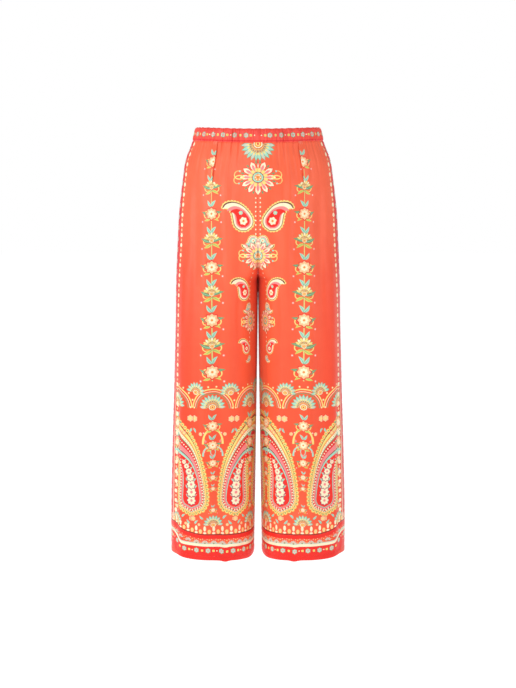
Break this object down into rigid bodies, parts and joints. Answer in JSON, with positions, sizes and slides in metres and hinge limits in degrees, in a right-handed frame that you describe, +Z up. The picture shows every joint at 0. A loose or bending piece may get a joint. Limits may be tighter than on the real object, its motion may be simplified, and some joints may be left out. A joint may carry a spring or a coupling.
{
  "type": "cropped wide-leg trousers",
  "caption": "Cropped wide-leg pull-on trousers in light printed cloth, with a gathered elastic waistband and a pleat on each front, standing hollow as worn.",
  "frame": {"origin": "centre of the waist ring, at half the height of the waistband, where the wearer's waist holds the trousers up", "axes": "+Z up along the body, the front faces -Y, the wearer's left leg is at +X"},
  "size_m": [0.376, 0.2459, 0.9034],
  "materials": {
    "printed_cloth": "satin-faced woven cloth, coral, with a printed ornament",
    "waistband_cloth": "the same cloth in a redder ground, gathered over an elastic"
  },
  "bodies": {
    "root": {"front_left": "printed_cloth", "front_right": "printed_cloth", "back_left": "printed_cloth", "back_right": "printed_cloth", "waistband_left": "waistband_cloth", "waistband_right": "waistband_cloth"}
  },
  "joints": []
}
